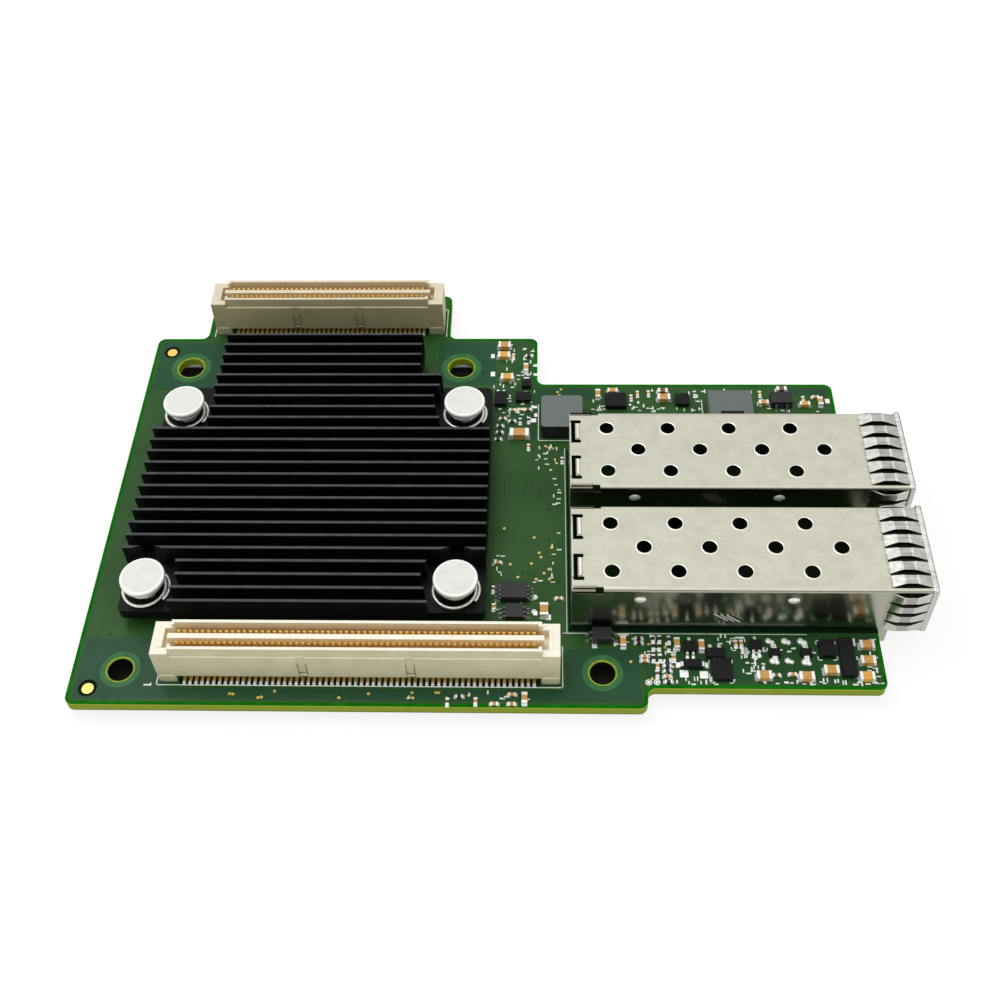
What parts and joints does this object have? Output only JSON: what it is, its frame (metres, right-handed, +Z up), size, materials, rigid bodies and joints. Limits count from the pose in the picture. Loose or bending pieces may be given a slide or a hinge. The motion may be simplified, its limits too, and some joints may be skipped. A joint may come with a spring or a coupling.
{
  "type": "mezzanine network card",
  "caption": "Flat green network card with a black finned heat sink, board-to-board connectors on its front and back edges and side-by-side metal module cages.",
  "frame": {"origin": "under the middle of the card's outline, at the level of the lowest push-pin and cage tails", "axes": "+X along the card towards the mouths of the module cages, +Y across it towards the rear connector tab, +Z up, out of the populated side of the board"},
  "size_m": [0.1164, 0.0782, 0.0137],
  "materials": {
    "solder_mask": "dark green solder mask on glass-fibre laminate",
    "connector_plastic": "ivory moulded plastic",
    "gold_contact": "gold-plated contact metal",
    "chip_package": "black moulded chip package",
    "thermal_pad": "grey heat-conducting pad",
    "black_anodised": "black anodised, bright on the fin tops",
    "pin_plastic": "off-white moulded plastic",
    "spring_steel": "bright spring wire",
    "cage_metal": "plated sheet steel",
    "collar_metal": "bright plated spring sheet",
    "socket_plastic": "black moulded plastic",
    "iron_composite": "pressed grey iron-powder body",
    "ferrite": "dark grey ferrite",
    "capacitor_ceramic": "tan ceramic with tinned ends",
    "resistor_ceramic": "dark body with tinned ends"
  },
  "bodies": {
    "root": {"chip_resistors": "resistor_ceramic", "circuit_board": "solder_mask", "controller_chip": "chip_package", "ferrite_inductor": "ferrite", "front_cage_collar": "collar_metal", "front_cage_cover": "cage_metal", "front_cage_floor": "cage_metal", "front_connector_contacts": "gold_contact", "front_connector_housing": "connector_plastic", "front_port_contacts": "gold_contact", "front_port_socket": "socket_plastic", "heat_sink": "black_anodised", "large_capacitors": "capacitor_ceramic", "memory_chips": "chip_package", "moulded_inductor": "iron_composite", "push_pin_springs": "spring_steel", "push_pins": "pin_plastic", "rear_cage_collar": "collar_metal", "rear_cage_cover": "cage_metal", "rear_cage_floor": "cage_metal", "rear_connector_contacts": "gold_contact", "rear_connector_housing": "connector_plastic", "rear_port_contacts": "gold_contact", "rear_port_socket": "socket_plastic", "regulator_chips": "chip_package", "small_capacitors": "capacitor_ceramic", "small_transistors": "chip_package", "thermal_pad": "thermal_pad"}
  },
  "joints": []
}
